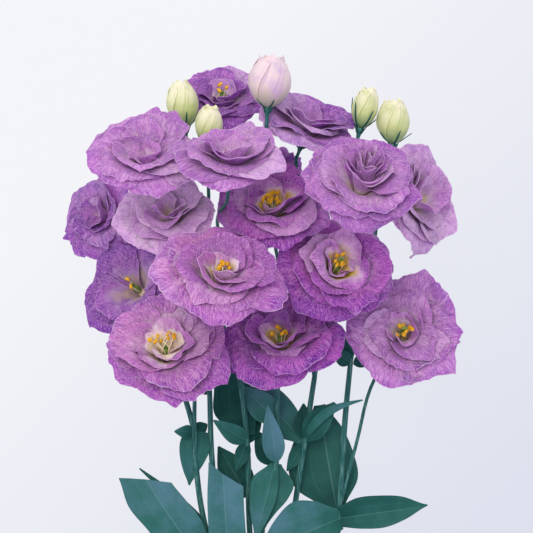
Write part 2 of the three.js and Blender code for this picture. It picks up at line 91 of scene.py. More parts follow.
# Adds a node and returns one of its outputs. A setting that is another node's output gets linked, stops fill
# a colour ramp, one with the name or number of a socket goes to that socket, and any other to the node itself
def addNode(tree, kind, settings=None, output=0):
    node = tree.nodes.new("ShaderNode" + kind)
    for key, value in (settings or {}).items():
        if isinstance(value, bpy.types.NodeSocket):
            tree.links.new(value, node.inputs[key])
        elif key == "stops":
            elements = node.color_ramp.elements
            while len(elements) < len(value):
                elements.new(0.5)
            for element, (position, hexColour) in zip(elements, value):
                element.position = position
                element.color = toLinear(hexColour)
        elif isinstance(key, int) or key in node.inputs:
            node.inputs[key].default_value = value
        else:
            setattr(node, key, value)
    return node.outputs[output]


def newMaterial(name):
    material = bpy.data.materials.new(name)
    material.use_nodes = True
    tree = material.node_tree
    tree.nodes.clear()
    return material, tree


# Ends a material with its shader's settings, and the height, depth in mm and strength of its relief
def finishMaterial(tree, shader, height=None, depth=0.0, strength=0.0):
    if height is not None:
        relief = {"Strength": strength, "Distance": depth * mm, "Height": height}
        shader = {**shader, "Normal": addNode(tree, "Bump", relief)}
    output = tree.nodes.new("ShaderNodeOutputMaterial")
    tree.links.new(addNode(tree, "BsdfPrincipled", shader), output.inputs["Surface"])


# A petal's or leaf's own axes: across it, along it, and how far from its middle line, 0.5 at the margin
def sheetAxes(tree):
    uv = addNode(tree, "UVMap", {"uv_map": "UVMap"})
    across, along = addNode(tree, "SeparateXYZ", {0: uv}).node.outputs[:2]
    fromMiddle = addNode(tree, "Math", {"operation": "SUBTRACT", 0: across, 1: 0.5})
    return across, along, addNode(tree, "Math", {"operation": "ABSOLUTE", 0: fromMiddle})


# A pattern of soft patches about so many mm wide
def patches(tree, size, detail=2.0, roughness=0.5):
    position = addNode(tree, "TexCoord", output="Object")
    return addNode(tree, "TexNoise", {
        "Scale": 1 / (size * mm), "Detail": detail, "Roughness": roughness, "Vector": position})


# A MapRange node's settings for a pattern and its limits: from and to, then the value at each
def span(pattern, *limits):
    return dict(enumerate((pattern, *limits)))


# Lays a colour over another one where a pattern runs from one value to another
def tint(tree, under, over, pattern, limits, mask=None):
    amount = addNode(tree, "MapRange", span(pattern, *limits))
    if mask is not None:
        amount = addNode(tree, "Math", {"operation": "MULTIPLY", 0: amount, 1: mask})
    return addNode(tree, "Mix", {"data_type": "RGBA", 0: amount, 6: under, 7: toLinear(over)}, 2)


# Petals: soft living tissue with a velvety skin, a pale throat, and fine veins that fan out. Sizes are in mm,
# and a layer is the pattern it follows, from and to, how much at each, its colour, and if it fades in the throat
petalLook = {
    "veins": (130, 14), "rays": (24, 2), "veinDepth": 0.55, "rayHeight": 2.5, "toneShift": 57.0,
    "blotch": 14, "cloud": 7, "speckle": 0.9, "roughness": 0.6, "sheen": 0.1, "sheenTint": "f0d8f2",
    "foot": "b9c488",
    "layers": [
        # the tone layers paint whole petals whiter or darker, partly painted light
        ("tone", (0.55, 1.0, 0.0, 0.55), "white", False), ("tone", (0.42, 0.0, 0.0, 0.6), "edge", False),
        ("clouds", (0.48, 0.7, 0.0, 0.42), "cloud", False), ("rays", (0.32, 0.48, 0.5, 0.0), "pale", True),
        ("rays", (0.5, 0.7, 0.0, 0.5), "edge", True), ("streaks", (0.32, 0.5, 0.42, 0.0), "white", True),
        ("streaks", (0.5, 0.68, 0.0, 0.64), "vein", True),
    ],
}
petalStops = {
    "face": [(0.1, "throat"), (0.26, "white"), (0.42, "pale"), (0.6, "body"), (0.78, "body"), (0.98, "edge")],
    "underside": [(0.0, "foot"), (0.14, "white"), (0.36, "back"), (0.7, "back"), (1.0, "body")],
}
petalPalettes = {
    "mauve": {"throat": "f0dc90", "white": "ecd0e8", "pale": "d2a6cf", "body": "bb80bc", "edge": "8d4b9d",
              "vein": "70368a", "back": "c28cc8", "cloud": "8a63ac"},
    "pink": {"throat": "f8e2a0", "white": "f3daea", "pale": "d49cc8", "body": "bc70b4", "edge": "84389a",
             "vein": "6e317f", "back": "c38cbe", "cloud": "93529f"},
    "violet": {"throat": "f6e49c", "white": "e4c6e6", "pale": "c084c2", "body": "a15cad", "edge": "672a88",
               "vein": "522176", "back": "a972ba", "cloud": "6d4296"},
    "magenta": {"throat": "ecc93c", "white": "e4c0de", "pale": "c078c2", "body": "a84bac", "edge": "661c88",
                "vein": "4c156c", "back": "9e55aa", "cloud": "622a8e"},
}


# Noise drawn out along a petal, with about so many streaks across and along it
def streakNoise(tree, across, along, shiftBy, counts):
    sideways = addNode(tree, "Math", {"operation": "MULTIPLY_ADD", 0: across, 1: counts[0], 2: shiftBy})
    lengthwise = addNode(tree, "Math", {"operation": "MULTIPLY", 0: along, 1: counts[1]})
    position = addNode(tree, "CombineXYZ", {0: sideways, 1: lengthwise, 2: shiftBy})
    return addNode(tree, "TexNoise", {"Scale": 1.0, "Detail": 3.0, "Roughness": 0.65, "Vector": position})


# Attributes: tone runs from a dark petal, 0, to a whitish one, 1, and holds painted light as well as each petal's own
# lightness; pale widens the pale throat, partly as painted light
def petalMaterial(name, palette, side):
    material, tree = newMaterial(name)
    look = petalLook
    palette = {"foot": look["foot"], **palette}
    across, along, aside = sheetAxes(tree)
    tone = addNode(tree, "Attribute", {"attribute_name": "tone"}, "Fac")
    pale = addNode(tree, "Attribute", {"attribute_name": "pale"}, "Fac")
    shiftBy = addNode(tree, "Math", {"operation": "MULTIPLY", 0: tone, 1: look["toneShift"]})
    patterns = {
        "tone": tone, "clouds": patches(tree, look["cloud"], 3.0),
        "streaks": streakNoise(tree, across, along, shiftBy, look["veins"]),
        "rays": streakNoise(tree, across, along, shiftBy, look["rays"]),
    }

    # blotches move the border between the pale inner part and the body of the petal
    blotches = patches(tree, look["blotch"], 4.0)
    wander = addNode(tree, "MapRange", span(blotches, 0.3, 0.7, -0.16, 0.16))
    outwards = addNode(tree, "MapRange", span(along, 0.3, 0.7, 0.35, 1.0))
    reach = addNode(tree, "Math", {"operation": "MULTIPLY_ADD", 0: wander, 1: outwards, 2: along})
    reach = addNode(tree, "Math", {"operation": "SUBTRACT", 0: reach, 1: pale})
    colour = addNode(tree, "ValToRGB", {0: reach, "stops": [(at, palette[part]) for at, part in petalStops[side]]})
    pastThroat = addNode(tree, "MapRange", span(reach, 0.2, 0.5, 0.2, 1.0))
    for pattern, limits, part, fades in look["layers"]:
        colour = tint(tree, colour, palette[part], patterns[pattern], limits, pastThroat if fades else None)

    # painted rim highlight: a thin pale margin at the tip and the flanks, missing here and there
    outer = addNode(tree, "MapRange", span(along, 0.982, 0.997, 0.0, 0.45))
    flankHighlight = addNode(tree, "MapRange", span(aside, 0.49, 0.498, 0.0, 0.45))
    pastRoot = addNode(tree, "MapRange", span(along, 0.3, 0.5, 0.0, 1.0))
    flankHighlight = addNode(tree, "Math", {"operation": "MULTIPLY", 0: flankHighlight, 1: pastRoot})
    margin = addNode(tree, "Math", {"operation": "MAXIMUM", 0: outer, 1: flankHighlight})
    colour = tint(tree, colour, palette["white"], blotches, (0.42, 0.6, 0.0, 1.0), margin)

    # painted glints: a fine pale speckle stands for the glitter of the skin's cells, drawn coarser than life so that
    # it shows, and also roughens the bump
    glintSpeckles = patches(tree, look["speckle"])
    colour = tint(tree, colour, palette["white"], glintSpeckles, (0.52, 0.72, 0.0, 0.3))
    fine = addNode(tree, "Math", {"operation": "ADD", 0: patterns["streaks"], 1: glintSpeckles})
    height = addNode(tree, "Math", {"operation": "MULTIPLY_ADD", 0: patterns["rays"], 1: look["rayHeight"], 2: fine})
    finishMaterial(tree, {
        "Base Color": colour, "Roughness": look["roughness"], "IOR": 1.4, "Specular IOR Level": 0.25,
        "Sheen Weight": look["sheen"], "Sheen Roughness": 0.4, "Sheen Tint": toLinear(look["sheenTint"]),
        "Subsurface Weight": 0.4, "Subsurface Scale": 2.5 * mm, "Subsurface Radius": (0.9, 0.45, 1.0),
    }, height, look["veinDepth"], 0.6)
    return material


# Leaf: waxy skin with a blue-grey bloom, a thin paler midrib and faint veins that run with the margins
leafLook = {
    "deep": "0f463e", "body": "2a665a", "glaucous": "4f7c86", "rib": "74a094", "cloud": 16, "grain": 1.1,
    "veinSpacing": 0.11, "roughness": 0.6,
}


def leafMaterial(name):
    material, tree = newMaterial(name)
    look = leafLook
    across, along, aside = sheetAxes(tree)
    mixed = addNode(tree, "Attribute", {"attribute_name": "tone"}, "Fac")
    # clouded, darker near the base, and one half a little paler than the other, which is painted light falling on one
    # side of the fold
    for shade in (span(patches(tree, look["cloud"], 5.0, 0.6), 0.3, 0.7, -0.15, 0.15),
                  span(along, 0.0, 0.7, -0.16, 0.08), span(across, 0.49, 0.51, -0.04, 0.04)):
        mixed = addNode(tree, "Math", {"operation": "ADD", 0: mixed, 1: addNode(tree, "MapRange", shade)})
    colour = addNode(tree, "ValToRGB", {
        0: mixed, "stops": [(0.05, look["deep"]), (0.5, look["body"]), (0.95, look["glaucous"])]})
    midrib = addNode(tree, "MapRange", span(aside, 0.005, 0.014, 0.32, 0.0))
    fromVein = addNode(tree, "Math", {"operation": "PINGPONG", 0: aside, 1: look["veinSpacing"]})
    sideVeins = addNode(tree, "MapRange", span(fromVein, 0.0, 0.014, 0.08, 0.0))
    ribs = addNode(tree, "Math", {"operation": "MAXIMUM", 0: midrib, 1: sideVeins})
    colour = tint(tree, colour, look["rib"], ribs, (0.0, 1.0, 0.0, 1.0))
    height = addNode(tree, "Math", {"operation": "MULTIPLY_ADD", 0: patches(tree, look["grain"]), 1: 0.3, 2: ribs})
    finishMaterial(tree, {
        "Base Color": colour, "Roughness": look["roughness"], "IOR": 1.45, "Specular IOR Level": 0.15,
    }, height, 0.3, 0.5)
    return material


# Stem: smooth green skin with a waxy bloom, and faint pale streaks 1 mm wide that run along it, roughly along Y
stemLook = {"deep": "1a4f4a", "body": "2f665f", "pale": "5f8e80", "streak": 0.9, "stretch": 0.06, "roughness": 0.55}


def stemMaterial(name):
    material, tree = newMaterial(name)
    look = stemLook
    position = addNode(tree, "TexCoord", output="Object")
    stretched = addNode(tree, "Mapping", {"Scale": (1, look["stretch"], 1), "Vector": position})
    streaks = addNode(tree, "TexNoise", {"Scale": 1 / (look["streak"] * mm), "Detail": 2.0, "Vector": stretched})
    colour = addNode(tree, "ValToRGB", {
        0: streaks, "stops": [(0.3, look["deep"]), (0.5, look["body"]), (0.75, look["pale"])]})
    finishMaterial(tree, {
        "Base Color": colour, "Roughness": look["roughness"], "IOR": 1.45, "Specular IOR Level": 0.15,
    }, streaks, 0.3, 0.4)
    return material


# Bud petals: waxy, greenish cream, darker towards the calyx, with fine lengthwise lines
budLook = {"lines": 16.0, "toneShift": 31.0, "patch": 9, "roughness": 0.5, "sheen": 0.15}
budPalettes = {
    "bud": {"foot": "5f8a52", "body": "c6d48c", "tip": "eceec4", "line": "9db56a", "patch": "b9cb7e"},
    "blush": {"foot": "a9ad8c", "body": "dacbc0", "tip": "e4d6cf", "line": "bd9cc2", "patch": "c4a9cc"},
}


def budMaterial(name, palette):
    material, tree = newMaterial(name)
    look = budLook
    across, along = sheetAxes(tree)[:2]
    tone = addNode(tree, "Attribute", {"attribute_name": "tone"}, "Fac")
    shiftBy = addNode(tree, "Math", {"operation": "MULTIPLY", 0: tone, 1: look["toneShift"]})
    sideways = addNode(tree, "Math", {"operation": "MULTIPLY_ADD", 0: across, 1: look["lines"], 2: shiftBy})
    position = addNode(tree, "CombineXYZ", {0: sideways, 1: along})
    lines = addNode(tree, "TexNoise", {"Scale": 1.0, "Detail": 3.0, "Vector": position})
    colour = addNode(tree, "ValToRGB", {
        0: along, "stops": [(0.05, palette["foot"]), (0.42, palette["body"]), (0.95, palette["tip"])]})
    colour = tint(tree, colour, palette["line"], lines, (0.5, 0.72, 0.0, 0.6))
    colour = tint(tree, colour, palette["patch"], patches(tree, look["patch"], 3.0), (0.5, 0.7, 0.0, 0.7))
    finishMaterial(tree, {
        "Base Color": colour, "Roughness": look["roughness"], "IOR": 1.42, "Sheen Weight": look["sheen"],
        "Subsurface Weight": 0.15, "Subsurface Scale": 2 * mm, "Subsurface Radius": (0.8, 1.0, 0.4),
    }, lines, 0.25, 0.4)
    return material


# Plain living parts and raffia: two colours mixed by a grain of a real size
def grainMaterial(name, dark, light, grain, roughness, depth=0.2):
    material, tree = newMaterial(name)
    texture = patches(tree, grain, 3.0)
    colour = addNode(tree, "ValToRGB", {0: texture, "stops": [(0.35, dark), (0.65, light)]})
    finishMaterial(tree, {"Base Color": colour, "Roughness": roughness, "IOR": 1.45}, texture, depth, 0.5)
    return material


materials = {}
for colour, palette in petalPalettes.items():
    materials[colour] = petalMaterial("petalSkin_" + colour, palette, "face")
    materials[colour + "Back"] = petalMaterial("petalUnderside_" + colour, palette, "underside")
for colour, palette in budPalettes.items():
    materials[colour] = budMaterial("budSkin_" + colour, palette)
materials["leaf"] = leafMaterial("waxyLeaf")
materials["stem"] = stemMaterial("waxyStem")
materials["cutEnd"] = grainMaterial("cutStemPith", "b9c79a", "dfe6c8", 0.8, 0.7)
materials["anther"] = grainMaterial("pollenAnther", "cf8a0c", "f6cf2a", 0.7, 0.85, 0.4)
materials["filament"] = grainMaterial("filamentTissue", "d9cf9a", "efe7c4", 1.5, 0.55)
materials["pistil"] = grainMaterial("pistilTissue", "46702a", "86a648", 1.2, 0.5)
materials["raffia"] = grainMaterial("raffiaFibre", "a98f5c", "dccb9c", 0.7, 0.85, 0.4)
print("materials ready")


# Sheets: a grid whose own x and y run across and along a petal or leaf
templates = {}


def copyTemplate(kind):
    copied = templates[kind].copy()
    copied.data = templates[kind].data.copy()
    bpy.context.scene.collection.objects.link(copied)
    return copied


def newSheet(across, along):
    kind = ("sheet", across, along)
    if kind not in templates:
        bpy.ops.object.select_all(action="DESELECT")
        bpy.ops.mesh.primitive_grid_add(x_subdivisions=across, y_subdivisions=along, size=2)
        templates[kind] = bpy.context.object
    return copyTemplate(kind)


# Moves a sheet's points to surface(u, v), in metres, with u from -1 to 1 and v from 0 to 1
def shapeSheet(sheet, surface, tone, pale=0.0):
    for vertex in sheet.data.vertices:
        vertex.co = surface(vertex.co.x, (vertex.co.y + 1) / 2)
    for name, value in (("tone", tone), ("pale", pale)):
        attribute = sheet.data.attributes.new(name, "FLOAT", "POINT")
        attribute.data.foreach_set("value", [value] * len(sheet.data.vertices))
    return sheet


def pick(*pieces):
    bpy.ops.object.select_all(action="DESELECT")
    for piece in pieces:
        piece.select_set(True)
    bpy.context.view_layer.objects.active = pieces[0]


def joinPieces(pieces, name):
    pick(*pieces)
    if len(pieces) > 1:
        bpy.ops.object.join()
    whole = bpy.context.view_layer.objects.active
    whole.name = name
    whole.data.name = name
    return whole


# Gives a sheet its thickness in mm, with its back and rim in the material so many slots further on
def thicken(piece, thickness, backOffset=0):
    pick(piece)
    wall = piece.modifiers.new("wall", "SOLIDIFY")
    wall.thickness = thickness * mm
    wall.offset = 0
    wall.material_offset = backOffset
    wall.material_offset_rim = backOffset
    bpy.ops.object.modifier_apply(modifier="wall")


def finishPiece(piece, node):
    pick(piece)
    bpy.ops.object.shade_smooth_by_angle(angle=math.radians(50))
    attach(piece, "root")
    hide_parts(node)


# Tubes and balls
def coat(piece, *names):
    piece.data.materials.clear()
    for name in names:
        piece.data.materials.append(materials[name])
    return piece


# A round tube through points in metres, with its radius in mm at each
def newTube(points, radii, material, roundness=3, steps=6):
    bpy.ops.object.select_all(action="DESELECT")
    bpy.ops.curve.primitive_bezier_curve_add(location=(0, 0, 0))
    curve = bpy.context.object
    curve.data.dimensions = "3D"
    curve.data.bevel_depth = mm
    curve.data.bevel_resolution = roundness
    curve.data.resolution_u = steps
    curve.data.use_fill_caps = True
    knots = curve.data.splines[0].bezier_points
    knots.add(len(points) - len(knots))
    for knot, point, radius in zip(knots, points, radii):
        knot.co = point
        knot.radius = radius
        knot.handle_left_type = knot.handle_right_type = "AUTO"
    bpy.ops.object.convert(target="MESH")
    return coat(bpy.context.object, material)


# A ball of radius 1, squeezed to size and put in place by the matrix
def newBall(matrix, material, segments=14, rings=10):
    kind = ("ball", segments, rings)
    if kind not in templates:
        bpy.ops.object.select_all(action="DESELECT")
        bpy.ops.mesh.primitive_uv_sphere_add(segments=segments, ring_count=rings, radius=1)
        templates[kind] = bpy.context.object
    ball = copyTemplate(kind)
    ball.data.transform(matrix)
    return coat(ball, material)


def turnTo(direction):
    return Vector((0, 0, 1)).rotation_difference(Vector(direction).normalized()).to_matrix().to_4x4()


# Frames: a flower's own frame is in mm, with its axis along +Z and +X away from the viewer
heartHeight = 22


def flowerFrame(bloom):
    turn, tip = radians(bloom["turn"], bloom["tip"])
    facing = Vector((math.sin(tip) * math.cos(turn), math.sin(tip) * math.sin(turn), math.cos(tip)))
    back = Vector((math.cos(tip) * math.cos(turn), math.cos(tip) * math.sin(turn), -math.sin(tip)))
    side = facing.cross(back)
    root = place(Vector(bloom["heart"]) - facing * heartHeight)
    turned = Matrix((back, side, facing)).transposed().to_4x4()
    return Matrix.Translation(root) @ turned @ Matrix.Scale(mm, 4)


def budFrame(bud):
    return Matrix.Translation(place(bud["foot"])) @ turnTo(bud["lean"]) @ Matrix.Scale(mm, 4)


# Whorls from the outside in: petals, lean out from the axis at the root and at the tip, length as
# a share of the outer petals', width in radii
bloomForms = {
    "rose": [(5, 44, 92, 1.0, 1.6), (4, 40, 78, 0.96, 1.75), (4, 37, 58, 0.88, 1.6), (3, 32, 46, 0.68, 1.5),
             (3, 22, 34, 0.46, 0.9)],
    "layered": [(5, 44, 92, 1.0, 1.6), (4, 37, 76, 0.93, 1.7), (3, 28, 56, 0.82, 1.7), (3, 17, 34, 0.68, 1.3)],
    "open": [(5, 46, 92, 1.0, 1.6), (5, 41, 80, 0.94, 1.5), (4, 34, 66, 0.85, 1.55), (3, 26, 46, 0.7, 1.3),
             (3, 16, 26, 0.53, 1.0)],
    "bowl": [(5, 46, 94, 1.0, 1.65), (4, 39, 78, 0.92, 1.75), (4, 30, 58, 0.77, 1.4), (3, 18, 34, 0.57, 1.1)],
    "trumpet": [(5, 32, 98, 1.0, 1.9), (5, 29, 86, 0.93, 1.8), (4, 25, 74, 0.84, 1.9)],
    "rosette": [(5, 44, 92, 1.0, 1.65), (4, 38, 78, 0.95, 1.8), (4, 30, 58, 0.88, 1.4), (4, 17, 28, 0.8, 1.0),
                (4, 10, 14, 0.82, 0.8), (4, 6, 6, 0.83, 0.55), (3, 2, 0, 0.84, 0.3)],
    "small": [(5, 34, 72, 1.0, 1.4), (4, 26, 52, 0.9, 1.2), (3, 16, 24, 0.8, 0.9)],
}
petalShape = {
    "grid": (26, 18), "thickness": 0.35, "rootRadius": 2.5, "rootWidth": 0.12, "widest": 0.6,
    "tipRound": 0.14, "rootWrap": 205, "whorlWrap": 290, "mostWrap": 105, "tuck": 2.6, "wave": 1.3,
    "wavesRound": 4, "roll": 4.2, "fold": 3.6, "foldWidth": 0.26, "frill": 0.9, "frills": (4, 10),
    "fringe": 0.065, "point": 0.08, "lip": 46, "lipFrom": 0.72, "crinkle": 1.1, "floor": 0.35,
    "lengths": (0.88, 1.1), "widths": (0.82, 1.18), "leans": (-15, 11),
}


# Radius and height gained on an arc that bends evenly from one lean by the turn given
def arc(length, lean, turn):
    turn = turn if abs(turn) > 0.01 else 0.01
    size = length / turn
    return size * (math.cos(lean) - math.cos(lean + turn)), size * (math.sin(lean + turn) - math.sin(lean))


# Radius, height and lean at share s of a petal that bends evenly and rolls over a lip at its end
def petalCurve(length, leanFrom, leanTo, s, lip=0.0):
    start, bend, lipBend = radians(leanFrom, leanTo - leanFrom, lip)
    lipFrom = petalShape["lipFrom"]
    radius, height = arc(length * min(s, lipFrom), start, bend * min(s, lipFrom))
    lean = start + bend * min(s, lipFrom)
    if s > lipFrom:
        turn = bend * (s - lipFrom) + lipBend * (s - lipFrom) / (1 - lipFrom)
        more = arc(length * (s - lipFrom), lean, turn)
        radius, height, lean = radius + more[0], height + more[1], lean + turn
    return petalShape["rootRadius"] + radius, height, lean


def outerLength(bloom):
    outer = bloomForms[bloom["form"]][0]
    rootRadius = petalShape["rootRadius"]
    return (bloom["radius"] - rootRadius) / (petalCurve(1, outer[1], outer[2], 1)[0] - rootRadius)


def petalSurface(bloom, whorl, inwards, angle, draw, toWorld):
    shape = petalShape
    count, leanFrom, leanTo, share, width = whorl
    length = outerLength(bloom) * share * draw.uniform(*shape["lengths"])
    halfWidth = bloom["radius"] * width / 2 * draw.uniform(*shape["widths"])
    tuck = shape["tuck"] * draw.uniform(0.4, 1.4)
    rootWrap = shape["rootWrap"] / count
    tipWrap = min(shape["mostWrap"], shape["whorlWrap"] / count)
    leanTo += draw.uniform(*shape["leans"])
    seed = draw.uniform(0, 100)
    frills = draw.uniform(*shape["frills"])
    point = shape["point"] * draw.uniform(0, 1.4) * bloom.get("points", 1)
    tipAt = draw.uniform(-0.3, 0.3)
    calm = 1 - bloom.get("calm", 0) * inwards
    tipRound = calm * shape["tipRound"] * (1 + 1.4 * inwards) * draw.uniform(0.8, 1.4)
    lip = shape["lip"] * draw.uniform(0.1, 1.2) * (1 if leanTo > 40 else 0.6)
    fold = shape["fold"] * draw.uniform(-1, 1) * share
    foldAt = draw.uniform(-0.7, 0.7)

    def surface(u, v):
        jag = shape["fringe"] * noise.noise((u * 3, seed, 3)) + 0.6 * shape["fringe"] * noise.noise((u * 12, seed, 8))
        jag += point * max(0, 1 - 5 * abs(u - tipAt))
        s = v * (1 - tipRound * abs(u) ** 2.4 + jag * v ** 3)
        middle = petalCurve(length, leanFrom, leanTo, s)
        half = halfWidth * (shape["rootWidth"] + (1 - shape["rootWidth"]) * math.sin(math.pi * shape["widest"] * v))
        half *= 1 + 0.05 * noise.noise((v * 9, seed + 40 * (u > 0), 6)) * smooth(0.3, 0.6, v)
        wrap = math.radians(rootWrap + (tipWrap - rootWrap) * min(1, 1.6 * v))
        around = angle + u * min(half / middle[0], wrap)
        droop = -bloom["droop"] * (1 - 0.8 * inwards) * math.cos(around)
        rolled = lip * (1 + 1.3 * noise.noise((u * 1.3, seed, 12)))
        radius, height, lean = petalCurve(length, leanFrom, leanTo + droop, s, rolled)
        margin = max(v, abs(u) * smooth(0, 0.4, v))
        proud = tuck * u * (0.15 + 0.85 * s)
        proud += shape["wave"] * s * s * math.sin(shape["wavesRound"] * around + 2 * inwards)
        proud += calm * shape["roll"] * s ** 1.5 * noise.noise((u * 1.1 + seed, v * 1.4, 0))
        proud += calm * fold * smooth(0.3, 1, v) * math.exp(-((u - foldAt - 0.25 * v) / shape["foldWidth"]) ** 2)
        proud += shape["frill"] * margin ** 5 * math.sin(frills * u + seed + 2 * noise.noise((u * 2, seed, 9)))
        proud += calm * shape["crinkle"] * s * noise.noise((u * 5 + seed, v * 5, 4))
        radius += proud * math.cos(lean)
        height -= proud * math.sin(lean)
        aside = Vector((*bloom.get("aside", (0, 0)), 0)) * inwards * v
        return onFloor(toWorld @ (Vector((radius * math.cos(around), radius * math.sin(around), height)) + aside))
    return surface


# Keeps a point of a thin sheet above the surface the bunch lies on
def onFloor(point):
    point.z = max(point.z, petalShape["floor"] * mm)
    return point


def makeBloom(bloom):
    toWorld = flowerFrame(bloom)
    draw = random.Random(bloom["name"] + str(bloom.get("seed", 0)))
    whorls = bloomForms[bloom["form"]]
    petals = []
    for ring, whorl in enumerate(whorls):
        for k in range(whorl[0]):
            angle = 2 * math.pi * (k + 0.5 * ring) / whorl[0] + math.pi + draw.uniform(-0.38, 0.38)
            sheet = newSheet(*petalShape["grid"])
            inwards = ring / (len(whorls) - 1)
            surface = petalSurface(bloom, whorl, inwards, angle, draw, toWorld)
            pale = bloom["pale"] * (0.35 + 0.65 * inwards) + draw.uniform(-0.05, 0.05)
            # glow widens the pale throat of the inner whorls: the throat's own cream colour, spread wider as painted
            # light where light shines through the petals
            pale += bloom.get("glow", 0) * inwards ** 3
            # painted light: petals on the lit side are painted paler, on top of a random tone of their own
            paintedLightAt, light, tone = bloom["light"]
            tone += light * math.cos(angle - math.radians(paintedLightAt)) + draw.uniform(-0.42, 0.42)
            # inner whorls lighter: partly their own paler colour, partly painted light against the shade deep in the
            # bloom
            tone += bloom.get("inside", 0) * (inwards - 0.4)
            petals.append(shapeSheet(sheet, surface, clamp(tone), pale))
    piece = joinPieces(petals, "petals_" + bloom["name"])
    coat(piece, bloom["colour"] + "Back", bloom["colour"])
    thicken(piece, petalShape["thickness"], 1)
    core = newBall(toWorld @ Matrix.Translation((0, 0, 2.2)) @ Matrix.Diagonal((3.1, 3.1, 2.4, 1)), "filament")
    piece = joinPieces([piece, core], "petals_" + bloom["name"])
    finishPiece(piece, "bloom_" + bloom["name"])


# Blooms: the heart's place, turn and tip of its axis, radius, droop of the near petals, form, colour, how wide the
# throat is, and light, which is painted light: the side where its petals are painted paler as if lit, how much paler,
# and the mean tone, the bloom's own lightness with painted light added on blooms that lie in shade. What only some
# have is named
bloomColumns = ("name", "heart", "turn", "tip", "radius", "droop", "form", "colour", "pale", "light")
bloomRows = [
    ("upper_left", (-80, 271, 130), 95, 55, 37.5, 32, "rose", "mauve", 0.2, (180, 0.15, 0.42), {"seed": 1}),
    ("far_left", (-127, 226, 25.6), 165, 45, 31.5, 16, "layered", "violet", 0, (150, 0.1, 0.46),
     {"points": 1.5, "inside": 0.3, "seed": 1}),
    ("mid_left", (-67, 232, 90), 100, 53, 34.5, 30, "layered", "mauve", 0.38, (0, 0.3, 1.08), {}),
    ("left_trumpet", (-97, 175, 46), 145, 42, 37.5, 16, "trumpet", "violet", -0.12, (150, 0.1, -0.36),
     {"stamens": 2, "glow": 0.46}),
    ("lower_left", (-68, 135, 90), 95, 47, 43, 30, "open", "pink", 0.2, (10, 0.25, 0.28),
     {"stamens": 8, "parting": 5, "glow": 0.54, "points": 1.1, "inside": 0.8, "seed": 2}),
    ("front", (-26, 189, 137), 78, 54, 43.5, 34, "open", "pink", 0.2, (180, 0.2, 0.36),
     {"stamens": 7, "glow": 0.4, "inside": 0.2, "seed": 1}),
    ("centre", (6, 236, 90), 95, 54, 40, 28, "open", "magenta", 0.26, (170, 0.1, 0.5),
     {"stamens": 13, "style": 18, "glow": 0.45, "inside": 0.3}),
    ("spiral", (55, 191, 90), 60, 35, 43, 22, "open", "magenta", 0.34, (60, 0.25, 0.5),
     {"stamens": 6, "style": 22, "glow": 0.28, "inside": 0.3}),
    ("lower_middle", (13, 143, 70), 90, 53, 44, 34, "bowl", "magenta", 0.2, (215, 0.25, 0.4),
     {"stamens": 6, "glow": 0.3, "inside": 0.3, "seed": 2}),
    ("lower_right", (101, 142, 58), 90, 17, 43, 14, "open", "mauve", 0.12, (120, 0.2, 0.54),
     {"stamens": 7, "style": 22, "glow": 0.2, "points": 2, "seed": 1}),
    ("upper_right", (67, 250, 135), 85, 46, 38.5, 30, "rosette", "mauve", 0.14, (180, 0.1, 0.38),
     {"aside": (12, -6), "calm": 0.85, "inside": 0.5, "seed": 1}),
    ("far_right", (120, 237, 27), 12, 54, 41, 14, "layered", "mauve", 0.34, (180, 0.1, 1.04), {"points": 1.8}),
    ("top_right", (35, 295, 75), 72, 66, 36.5, 24, "layered", "violet", 0.08, (120, 0.3, 0.74), {"seed": 1}),
    ("top_left", (-29, 316, 60), 90, 55, 32.5, 24, "open", "violet", 0.2, (0, 0.45, 0.24),
     {"stamens": 3, "glow": 0.3, "seed": 1}),
    ("top_middle", (-20, 270, 140), 85, 65, 35.5, 30, "layered", "mauve", 0.26, (330, 0.2, 0.54), {}),
    ("hidden", (15, 264, 34), 60, 45, 22, 10, "small", "violet", 0, (0, 0, 0.45), {}),
]
blooms = [dict(zip(bloomColumns, row), **row[-1]) for row in bloomRows]


# Hearts: a green ovary with a forked stigma, and stamens with long pollen sacs round it
heartLook = {
    "foot": 5, "ovary": (2.6, 4.8), "style": 14, "lobe": (1.1, 1.6, 0.9), "filament": 0.45,
    "anther": (0.9, 1.1, 2.1), "spread": (1.2, 6.4), "reach": (17.5, 22),
}


